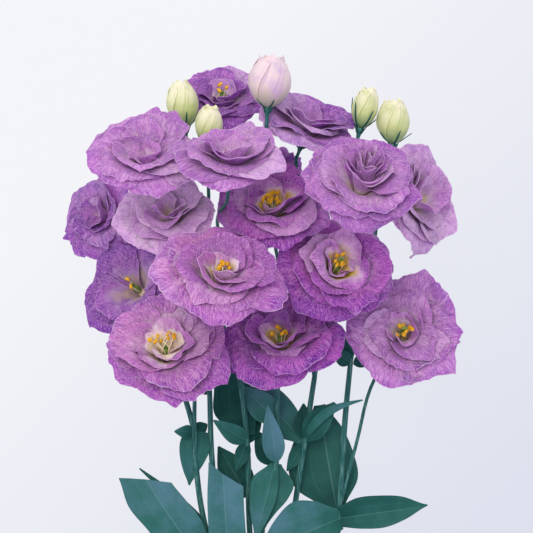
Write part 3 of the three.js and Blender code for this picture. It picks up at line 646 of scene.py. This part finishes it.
def makeHeart(bloom):
    look = heartLook
    toWorld = flowerFrame(bloom)
    draw = random.Random("heart " + bloom["name"])
    foot = look["foot"]
    style = bloom.get("style", look["style"])
    size = Matrix.Diagonal((look["ovary"][0], look["ovary"][0], look["ovary"][1], 1))
    pieces = [newBall(toWorld @ Matrix.Translation((0, 0, foot + look["ovary"][1])) @ size, "pistil")]
    stylePoints = [toWorld @ Vector((0, 0, foot + 9)), toWorld @ Vector((0.3, 0.2, 0.5 * (foot + 9 + style))),
                   toWorld @ Vector((0.4, 0, style + 1))]
    pieces.append(newTube(stylePoints, (1.3, 0.9, 0.8), "pistil"))
    for side in (-1, 1):
        lobe = Matrix.Translation((0.4, 1.2 * side, style + 1.4)) @ turnTo((0.2, 0.9 * side, 1))
        pieces.append(newBall(toWorld @ lobe @ Matrix.Diagonal((*look["lobe"], 1)), "pistil"))
    for k in range(bloom["stamens"]):
        angle = 2 * math.pi * (k + draw.uniform(-0.4, 0.4)) / bloom["stamens"]
        reach = draw.uniform(*look["reach"])
        spread = draw.uniform(*look["spread"])
        way = Vector((math.cos(angle), math.sin(angle), 0))
        tip = way * spread + Vector((1, 1 - 2 * (k % 2), 0)) * bloom.get("parting", 0) + Vector((0, 0, reach))
        points = [way * 2.2 + Vector((0, 0, foot + 1)), way * 3.3 + Vector((0, 0, 15)), tip]
        pieces.append(newTube([toWorld @ point for point in points], [look["filament"]] * 3, "filament", 2, 4))
        lean = Vector((draw.uniform(-1, 1), draw.uniform(-1, 1), draw.uniform(0.1, 0.8)))
        sac = Matrix.Translation(tip) @ turnTo(lean)
        for side in (-1, 1):
            half = Matrix.Translation((0.55 * side, 0, 0)) @ Matrix.Diagonal((*look["anther"], 1))
            pieces.append(newBall(toWorld @ sac @ half, "anther", 10, 8))
    piece = joinPieces(pieces, "heart_" + bloom["name"])
    finishPiece(piece, "stamens_" + bloom["name"])


# Buds: petals rolled round each other, each with one edge under its neighbour
budShape = {
    "petals": 5, "grid": (16, 20), "cover": 76, "twist": 46, "tuck": 0.07, "end": 0.955, "core": 0.9,
    "thickness": 0.5,
}
buds = [
    {"name": "left", "foot": (-54, 284, 80), "lean": (-0.1, 1, 0.15), "length": 33, "radius": 10.5,
     "colour": "bud", "mouth": 0.44, "sepals": (0.36, 3)},
    {"name": "left_small", "foot": (-38, 272, 95), "lean": (0.1, 1, 0.2), "length": 26, "radius": 9,
     "colour": "bud", "mouth": 0.5, "sepals": (0.2, 1)},
    {"name": "top", "foot": (4, 297, 95), "lean": (0.08, 1, 0.1), "length": 36, "radius": 14,
     "colour": "blush", "mouth": 0.58, "sepals": (0.2, 0.5)},
    {"name": "right_slim", "foot": (69, 284, 75), "lean": (0.24, 1, 0.1), "length": 29, "radius": 8.5,
     "colour": "bud", "mouth": 0.42, "sepals": (0.62, 5)},
    {"name": "right", "foot": (92, 273, 75), "lean": (0, 1, 0.1), "length": 31, "radius": 11,
     "colour": "bud", "mouth": 0.52, "sepals": (0.3, 3)},
]


def budRadius(bud, t):
    closing = math.sqrt(max(0, math.sin(math.pi * clamp(t, 0.004, 0.996))))
    return bud["radius"] * (max(closing, bud["mouth"]) if t > 0.5 else closing)


def budPetalSurface(bud, angle, draw, toWorld):
    shape = budShape
    seed = draw.uniform(0, 100)
    end = shape["end"] + draw.uniform(-0.03, 0.03)

    def surface(u, v):
        tooth = 0.05 * max(0, 1 - 3.5 * abs(u)) + 0.05 * noise.noise((u * 7, seed, 1))
        t = end * v * (1 - 0.13 * abs(u) ** 2.2 + tooth * v ** 4)
        around = angle + math.radians(u * shape["cover"] + shape["twist"] * v)
        radius = budRadius(bud, t) * (1 + shape["tuck"] * u)
        radius += 0.35 * noise.noise((u * 2.5, v * 2, seed)) + 0.7 * smooth(0.88, 1, v)
        return toWorld @ Vector((radius * math.cos(around), radius * math.sin(around), t * bud["length"]))
    return surface


def makeBud(bud):
    toWorld = budFrame(bud)
    draw = random.Random("bud " + bud["name"])
    petals = []
    for k in range(budShape["petals"]):
        angle = 2 * math.pi * k / budShape["petals"] + draw.uniform(-0.1, 0.1)
        surface = budPetalSurface(bud, angle, draw, toWorld)
        petals.append(shapeSheet(newSheet(*budShape["grid"]), surface, k / (budShape["petals"] - 1)))
    wraps = coat(joinPieces(petals, "wraps"), bud["colour"])
    thicken(wraps, budShape["thickness"])
    inside = budShape["core"] * bud["radius"]
    height = 0.46 * bud["length"]
    core = newBall(toWorld @ Matrix.Translation((0, 0, height)) @ Matrix.Diagonal((inside, inside, height, 1)),
                   bud["colour"], 20, 14)
    piece = joinPieces([wraps, core], "petals_bud_" + bud["name"])
    finishPiece(piece, "bud_" + bud["name"])


# Leafy stems: a stem runs along its route, a twig leaves it at a point of the route, counted from 0, and ends
# under its flower. A leaf's outline is its width, or the widths of its left and right half at even steps
stemSizes = {
    "cutEnd": -215, "tieWidth": 12, "bundleRadius": 4.9, "tieHeight": 8.4, "stem": 2.1, "twig": 1.25,
    "lowest": 2.6, "bloomCalyx": -2.3, "budCalyx": -0.3, "receptacle": 7, "sepals": 5, "sepalWidth": 2.2,
    "leafThickness": 0.55, "leafShape": 0.7, "broadLeaf": 18,
    "sepalGrid": (2, 12), "broadGrid": (14, 24), "slimGrid": (10, 16),
}
leafColumns = ("base", "tip", "bow", "fold", "tone", "outline", "slant", "curve")
stems = [
    {"name": "left", "slot": 180, "route": [(-40, -7, 24), (-48, 44, 30), (-49, 66, 32), (-56, 93, 31)],
     "twigs": [
         ("lower_left", 3, [(-62, 108, 45)]),
         ("left_trumpet", 3, [(-66, 135, 19)]),
         ("far_left", 3, [(-62, 130, 11), (-80, 185, 6)]),
         ("upper_left", 2, [(-49, 110, 38), (-55, 165, 40), (-66, 210, 44), (-78, 243, 42), (-82, 254, 64),
                            (-81, 247, 90)]),
     ],
     "leaves": [
         ((-45, -27, 22), (-84, 33, 34), 5, 0.08, 0.62,
          ([12, 17, 18.5, 20.5, 15.3], [10, 15.5, 17.6, 16, 14.3]), 0.167),
         ((-43, 3, 25), (-89, 40, 24), 1, 0.2, 0.2, 5),
         ((-47, 68, 31), (-53, 28, 24), 3, 0.25, 0.5, ([8, 11, 8.5, 4.5, 0.5], [9, 11, 9.5, 5.5, 0.5])),
         ((-50, 67, 32), (-63, 68, 40), 1, 0.2, 0.35, 9),
         ((-49, 67, 31), (-40, 72, 24), 1, 0.2, 0.2, 9),
     ]},
    {"name": "left_inner", "slot": 120, "route": [(-30, -6, 30), (-36, 44, 31), (-38, 97, 30)],
     "twigs": [
         ("mid_left", 2, [(-42, 150, 42)]),
         ("bud_left", 2, [(-46, 160, 26), (-55, 215, 36), (-55, 250, 60)]),
         ("bud_left_small", 2, [(-36, 160, 28), (-38, 215, 44), (-38, 247, 72)]),
     ],
     "leaves": [
         ((-25, -26, 28), (-28, 38, 46), 5, 0.1, 0.68, ([10, 12.5, 12.5, 11.5, 9.8], [10, 13.5, 14, 14, 14]), 0.145),
         ((-38, 99, 30), (-45, 97, 24), 1, 0.2, 0.2, 8),
     ]},
    {"name": "middle", "slot": 240, "route": [(-9, -7, 20), (-11, 61, 27), (-17, 115, 29)],
     "twigs": [
         ("front", 2, [(-28, 145, 34), (-36, 163, 60), (-37, 165, 95)]),
         ("top_middle", 2, [(-24, 160, 30), (-31, 208, 42), (-31, 222, 70), (-25, 230, 100)]),
         ("top_left", 2, [(-20, 170, 20), (-27, 240, 22)]),
     ],
     "leaves": [
         ((-10, 19, 22), (-32, 55, 13), 2, 0.2, 0.1, 24),
         ((-11, 64, 25), (-21, 136, 6), -8, 0.02, 0.34, ([6, 21, 20, 17, 8], [6, 10, 11, 9, 6])),
         ((-10, 58, 25), (-4, 91, 6), 1, 0.15, 0.08, 13),
         ((-11, 60, 28), (-35, 76, 40), 2, 0.2, 0.45, 13),
         ((-11, 59, 27), (-19, 39, 34), 1, 0.2, 0.12, 10),
     ]},
    {"name": "middle_right", "slot": 60, "route": [(0, -4, 28), (10, 44, 29), (11, 99, 32)],
     "twigs": [
         ("lower_middle", 2, []),
         ("centre", 2, [(14, 140, 26), (12, 185, 42)]),
         ("bud_top", 2, [(6, 150, 20), (2, 220, 44), (0, 258, 60)]),
     ],
     "leaves": [
         ((11, 75, 30), (-14, 99, 21), 2, 0.15, 0.6, 20),
         ((10, 45, 30), (4, 87, 48), 3, 0.2, 0.8, 15),
         ((9, 43, 28), (-5, 67, 16), -1, 0.15, 0.15, 16),
         ((9, 44, 29), (-4, -7, 36), 3, 0.15, 0.55, ([3, 6, 7, 5, 2], [3, 13, 12, 8, 2])),
         ((10, 44, 28), (2, -2, 32), 2, 0.12, 0.45, ([4, 15, 13, 6, 0.5], [4, 8, 9, 7, 0.5])),
     ]},
    {"name": "right_inner", "slot": 300, "route": [(21, -7, 20), (31, 61, 25), (38, 107, 28)],
     "twigs": [
         ("spiral", 2, [(44, 145, 32)]),
         ("top_right", 2, [(38, 160, 20), (34, 220, 32)]),
         ("hidden", 2, [(28, 160, 14), (14, 215, 10)]),
     ],
     "leaves": [
         ((30, 60, 24), (-10, 104, 12), 2, 0.08, 0.65, ([4, 12, 13, 10, 1], [4, 11, 13, 10, 1])),
         ((31, 62, 26), (72, 91, 46), 4, 0.2, 0.55, 6, 0, 7),
         ((31, 61, 26), (53, 88, 36), 2, 0.12, 0.28, ([3, 9, 10, 7, 2], [3, 8, 8, 5, 1])),
         ((31, 61, 25), (30, 87, 22), 1, 0.15, 0.1, 15),
         ((30, 58, 24), (18, 38, 23), 1, 0.2, 0.2, 10),
     ]},
    {"name": "right", "slot": 0, "route": [(55, -5, 24), (56, 12, 26), (60, 76, 29), (64, 118, 29)],
     "twigs": [
         ("lower_right", 1, [(68, 57, 25), (83, 107, 18)]),
         ("upper_right", 3, [(70, 175, 34), (75, 212, 52), (73, 226, 90)]),
         ("far_right", 3, [(72, 165, 18), (82, 205, 9)]),
         ("bud_right_slim", 3, [(66, 180, 26), (66, 240, 46), (63, 264, 60)]),
         ("bud_right", 3, [(76, 180, 28), (82, 222, 52), (91, 252, 64)]),
     ],
     "leaves": [
         ((54, 11, 23), (42, 85, 9), -3, 0.06, 0.32, ([8, 27, 29, 20, 4], [6, 19, 19, 14, 4])),
         ((55, 4, 26), (119, 15, 38), 5, 0.2, 0.3, ([8, 13, 12.5, 9.5, 0.5], [6, 9.5, 10.8, 7, 0.5])),
         ((56, 4, 27), (-3, -14, 50), 4, 0.12, 0.6, ([8, 12, 14, 10, 0.5], [8, 19, 23.7, 15, 0.5])),
         ((64, 118, 29), (49, 149, 32), 2, 0.2, 0.3, 12),
         ((64, 117, 29), (50, 126, 36), 1, 0.2, 0.25, 11),
         ((66, 116, 29), (81, 122, 22), 1, 0.2, 0.2, 9),
     ]},
]


# The value at a share of the way through a list, along a soft curve
def between(values, share):
    k = min(int(share * (len(values) - 1)), len(values) - 2)
    part = share * (len(values) - 1) - k
    before, first, second, after = (values[clamp(k + step, 0, len(values) - 1)] for step in (-1, 0, 1, 2))
    bend = (2 * before - 5 * first + 4 * second - after) * part ** 2
    bend += (3 * first - before - 3 * second + after) * part ** 3
    return max(0.15, first + 0.5 * ((second - before) * part + bend))


def leafSurface(leaf, draw):
    base = Vector(leaf["base"])
    run = Vector(leaf["tip"]) - base
    side = Vector((-run.y, run.x, 0)).normalized()
    up = -side.cross(run).normalized()
    seed = draw.uniform(0, 100)
    outline = leaf["outline"]
    isDrawn = isinstance(outline, tuple)
    size = max(outline[0]) + max(outline[1]) if isDrawn else outline

    def surface(u, v):
        if isDrawn:
            half = between(outline[0 if u < 0 else 1], clamp(v))
        else:
            half = 0.5 + outline / 2 * math.sin(math.pi * clamp(v) ** stemSizes["leafShape"])
        lift = leaf["bow"] * math.sin(math.pi * v) + leaf["fold"] * half * abs(u) ** 1.3
        lift += 0.035 * size * noise.noise((u * 1.4, v * 3.2, seed)) * (0.3 + abs(u))
        sway = leaf.get("curve", 0) * math.sin(math.pi * v) - u * half
        sway += 0.03 * size * math.sin(math.pi * v) * noise.noise((v * 1.5, seed, 5))
        return onFloor(place(base + run * v * (1 - u * leaf.get("slant", 0)) + side * sway + up * lift))
    return surface


# A narrow sepal through points given as radius and height in a flower's frame
def sepalSurface(angle, knots, width, toWorld):
    def surface(u, v):
        at = v * (len(knots) - 1)
        k = min(int(at), len(knots) - 2)
        part = at - k
        radius = knots[k][0] * (1 - part) + knots[k + 1][0] * part
        height = knots[k][1] * (1 - part) + knots[k + 1][1] * part
        half = width / 2 * (1 - v) ** 0.6 * (0.7 + 0.6 * v)
        keel = 0.35 * abs(u) * half
        side = Vector((-math.sin(angle), math.cos(angle), 0)) * (u * half)
        middle = Vector(((radius - keel) * math.cos(angle), (radius - keel) * math.sin(angle), height))
        return onFloor(toWorld @ (middle + side))
    return surface


# The thick end of a twig, with heights and radii, and the sepals on it, each through knots(angle)
def calyx(toWorld, heights, radii, sepalWidth, tone, knots):
    cup = newTube([toWorld @ Vector((0, 0, height)) for height in heights], radii, "stem")
    sheets = []
    for k in range(stemSizes["sepals"]):
        angle = 2 * math.pi * (k + 0.5) / stemSizes["sepals"] + math.pi
        surface = sepalSurface(angle, knots(angle), sepalWidth, toWorld)
        sheets.append(coat(shapeSheet(newSheet(*stemSizes["sepalGrid"]), surface, tone), "leaf"))
    return cup, sheets


def bloomCalyx(bloom, draw):
    outer = bloomForms[bloom["form"]][0]
    top = stemSizes["bloomCalyx"]
    foot = top - stemSizes["receptacle"]

    def knots(angle):
        places = [(2.2, top - 4)]
        for s in (0.1, 0.19, 0.28, 0.37, 0.46):
            droop = -bloom["droop"] * math.cos(angle)
            radius, height, lean = petalCurve(outerLength(bloom), outer[1], outer[2] + droop, s)
            gap = 4.6 + draw.uniform(-0.3, 0.8)
            places.append((radius + gap * math.cos(lean), height - gap * math.sin(lean)))
        return places
    return calyx(flowerFrame(bloom), (foot, foot + 2.5, top - 2, top), (1.25, 1.9, 3.1, 3.3),
                 stemSizes["sepalWidth"], 0.35, knots)


def budCalyx(bud, draw):
    foot = stemSizes["budCalyx"] - stemSizes["receptacle"]

    def knots(angle):
        reach = bud["sepals"][0] * draw.uniform(0.75, 1.1)
        flare = bud["sepals"][1] * draw.uniform(0.2, 1.2)
        places = [(2.0, -4)]
        for share in (0.1, 0.25, 0.45, 0.65, 0.85, 1):
            t = share * reach
            places.append((budRadius(bud, min(t, 0.5)) + 0.9 + flare * share ** 2, t * bud["length"]))
        return places
    return calyx(budFrame(bud), (foot, foot + 3, -1.6, -0.2), (1.25, 1.8, 3.1, 3.0),
                 0.8 * stemSizes["sepalWidth"], 0.3, knots)


def twigTube(start, via, flower, isBloom):
    toWorld = flowerFrame(flower) if isBloom else budFrame(flower)
    foot = stemSizes["bloomCalyx" if isBloom else "budCalyx"] - stemSizes["receptacle"]
    before = toWorld @ Vector((0, 0, foot - 7))
    before.z = max(before.z, stemSizes["lowest"] * mm)
    points = [place(point) for point in (start, *via)] + [before, toWorld @ Vector((0, 0, foot + 1))]
    radii = [stemSizes["twig"] * (1.35 if k == 0 else 1) for k in range(len(points))]
    return newTube(points, radii, "stem")


def makeStem(stem):
    sizes = stemSizes
    draw = random.Random("stem " + stem["name"])
    slot = math.radians(stem["slot"])
    tieX, tieY = layout["tie"]
    x = tieX + sizes["bundleRadius"] * math.cos(slot)
    z = sizes["tieHeight"] + sizes["bundleRadius"] * math.sin(slot)
    through = [(x, y, z) for y in (sizes["cutEnd"], tieY - sizes["tieWidth"], tieY + sizes["tieWidth"])]
    points = through + stem["route"]
    radii = [sizes["stem"]] * (len(points) - 1) + [sizes["stem"] * 0.9]
    tubes = [newTube([place(point) for point in points], radii, "stem", 4, 14)]
    pith = Matrix.Diagonal((0.9 * sizes["stem"], 0.35, 0.9 * sizes["stem"], 1)) @ Matrix.Scale(mm, 4)
    tubes.append(newBall(Matrix.Translation(place(through[0])) @ pith, "cutEnd"))
    sheets = []
    for target, start, via in stem["twigs"]:
        isBloom = not target.startswith("bud_")
        flower = next(each for each in (blooms if isBloom else buds)
                      if each["name"] == target.removeprefix("bud_"))
        tubes.append(twigTube(stem["route"][start], via, flower, isBloom))
        cup, sepals = bloomCalyx(flower, draw) if isBloom else budCalyx(flower, draw)
        tubes.append(cup)
        sheets += sepals
    for row in stem["leaves"]:
        leaf = dict(zip(leafColumns, row))
        isBroad = isinstance(leaf["outline"], tuple) or leaf["outline"] > sizes["broadLeaf"]
        sheet = newSheet(*sizes["broadGrid" if isBroad else "slimGrid"])
        sheets.append(coat(shapeSheet(sheet, leafSurface(leaf, draw), leaf["tone"]), "leaf"))
    green = joinPieces(sheets, "sheets")
    thicken(green, sizes["leafThickness"])
    piece = joinPieces([green] + tubes, "stem_and_leaves_" + stem["name"])
    finishPiece(piece, "stem_" + stem["name"])


# Tie: raffia wound round the stems, with a small knot on top
tieLook = {
    "inner": 7.5, "strand": (0.45, 1.3), "turns": 6, "width": 12, "knot": (2.6, 2.2, 1.5),
    "ends": [[(0, 0, 0.4), (-4, -4, 0.6), (-9, -12, -3.4)], [(0, 0, 0.4), (4, -3, 0.6), (8, -13, -3)],
             [(0, 0, 0.8), (-5, 2.5, 2), (-6.5, -1, 2.2), (0, -0.5, 0.8)],
             [(0, 0, 0.8), (5, 2.5, 2), (6.5, -1, 2), (0, -0.5, 0.8)]],
}


def makeTie():
    look = tieLook
    draw = random.Random("tie")
    middle = Vector((*layout["tie"], stemSizes["tieHeight"]))
    pieces = []
    for k in range(look["turns"]):
        bpy.ops.object.select_all(action="DESELECT")
        bpy.ops.mesh.primitive_torus_add(major_radius=(look["inner"] + look["strand"][0]) * mm,
                                         minor_radius=look["strand"][0] * mm,
                                         major_segments=64, minor_segments=10)
        strand = bpy.context.object
        flat = Matrix.Diagonal((1, 1, look["strand"][1] / look["strand"][0], 1))
        turned = Matrix.Rotation(math.radians(90 + draw.uniform(-4, 4)), 4, "X")
        y = (k - (look["turns"] - 1) / 2) * (look["width"] - 2 * look["strand"][1]) / (look["turns"] - 1)
        strand.data.transform(Matrix.Translation(place(middle + Vector((0, y, 0)))) @ turned @ flat)
        pieces.append(coat(strand, "raffia"))
    top = middle + Vector((0, 0, look["inner"] + 1.3))
    knot = Matrix.Diagonal((*look["knot"], 1)) @ Matrix.Scale(mm, 4)
    pieces.append(newBall(Matrix.Translation(place(top)) @ knot, "raffia"))
    for end in look["ends"]:
        pieces.append(newTube([place(top + Vector(point)) for point in end], [0.75] * len(end), "raffia"))
    piece = joinPieces(pieces, "raffia_tie")
    finishPiece(piece, "tie")


# Floor and light: a pale backdrop that glows by itself, with painted shade that makes it a little greyer towards the
# lower right
studio = {
    "floorLight": "f4f5f9", "floorShade": "dbdeec", "floorBase": "282828", "sky": "e8defc", "world": 0.92,
    "key": 52, "keyColour": "fff6ef", "keyPlace": (-0.6, 1.0, 2.6), "keySize": 2.2,
}


def addStudio():
    bpy.ops.object.select_all(action="DESELECT")
    bpy.ops.mesh.primitive_plane_add(size=30, location=(0, 0, 0))
    floor = bpy.context.object
    floor.name = "floor"
    material, tree = newMaterial("palePaper")
    position = addNode(tree, "TexCoord", output="Object")
    axes = addNode(tree, "SeparateXYZ", {0: position}).node.outputs
    # painted shade: the backdrop greys towards the lower right
    slope = addNode(tree, "Math", {"operation": "SUBTRACT", 0: axes[0], 1: axes[1]})
    share = addNode(tree, "MapRange", span(slope, -0.32, 0.3, 0.0, 1.0))
    glow = addNode(tree, "ValToRGB", {0: share, "stops": [(0.0, studio["floorLight"]), (1.0, studio["floorShade"])]})
    finishMaterial(tree, {
        "Base Color": toLinear(studio["floorBase"]), "Roughness": 0.9, "Specular IOR Level": 0.0,
        "Emission Strength": 0.97, "Emission Color": glow})
    floor.data.materials.append(material)

    world = bpy.data.worlds.new("studio")
    world.use_nodes = True
    sky = world.node_tree.nodes["Background"].inputs
    sky["Color"].default_value = toLinear(studio["sky"])
    sky["Strength"].default_value = studio["world"]
    bpy.context.scene.world = world

    bpy.ops.object.light_add(type="AREA", location=studio["keyPlace"])
    key = bpy.context.object
    key.data.size = studio["keySize"]
    key.data.energy = studio["key"]
    key.data.color = toLinear(studio["keyColour"])[:3]
    key.rotation_euler = (Vector((0, 0.15, 0)) - key.location).to_track_quat("-Z", "Y").to_euler()
    key.visible_camera = False
    bpy.context.scene.view_settings.view_transform = "Standard"
    print("studio ready")


addCamera()
addStudio()
for bloom in blooms:
    makeBloom(bloom)
    if "stamens" in bloom:
        makeHeart(bloom)
print("blooms ready")
for bud in buds:
    makeBud(bud)
print("buds ready")
for stem in stems:
    makeStem(stem)
makeTie()
print("stems and tie ready")

for template in templates.values():
    bpy.data.objects.remove(template)
bpy.context.view_layer.update()
